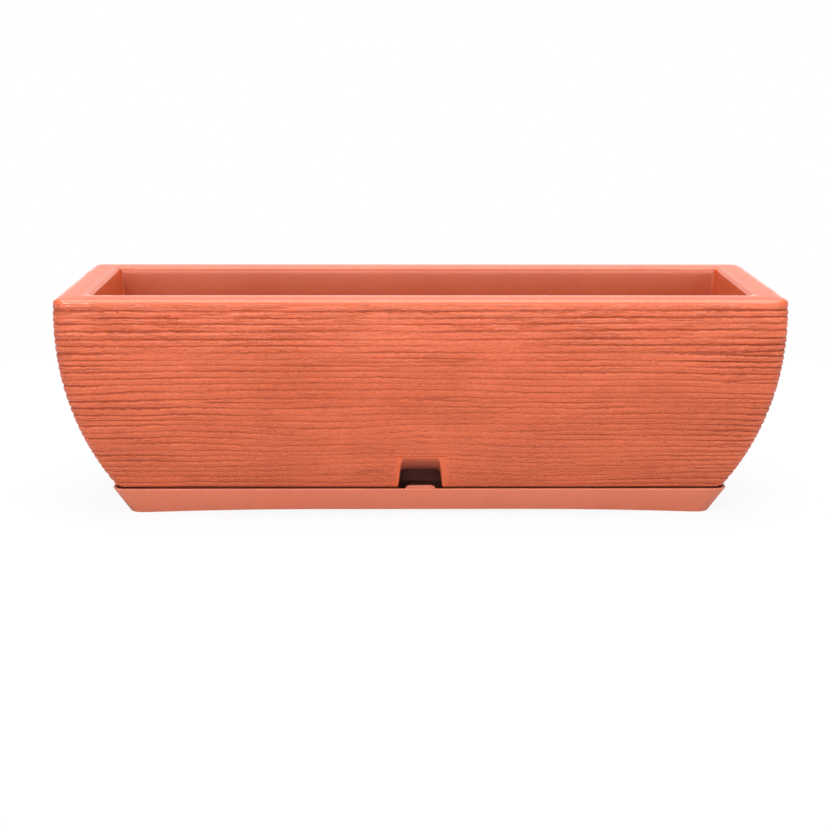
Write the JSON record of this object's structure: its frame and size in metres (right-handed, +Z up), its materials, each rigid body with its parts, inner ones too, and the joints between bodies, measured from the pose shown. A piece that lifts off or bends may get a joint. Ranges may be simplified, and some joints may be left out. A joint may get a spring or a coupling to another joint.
{
  "type": "window box planter",
  "caption": "Long barrel-walled window box planter with a wide flat rim, horizontal wood-like grain and moulded pockets, standing in a matching drip tray that lifts off.",
  "frame": {"origin": "on the ground, below the middle of the planter", "axes": "+X along the planter, -Y towards the front, +Z up"},
  "size_m": [0.6, 0.212, 0.193],
  "materials": {
    "grained_plastic": "terracotta-coloured, satin, horizontal wood-like grain outside and smooth on the rim and inside",
    "smooth_plastic": "terracotta-coloured, satin, plain moulded surface"
  },
  "bodies": {
    "tray": {"drip_tray": "smooth_plastic"},
    "trough": {"trough": "grained_plastic"}
  },
  "joints": [
    {"name": "trough_lift", "type": "slide", "parent": "tray", "child": "trough", "axis": [0, 0, 1], "range_m": [0, 0.06]}
  ]
}
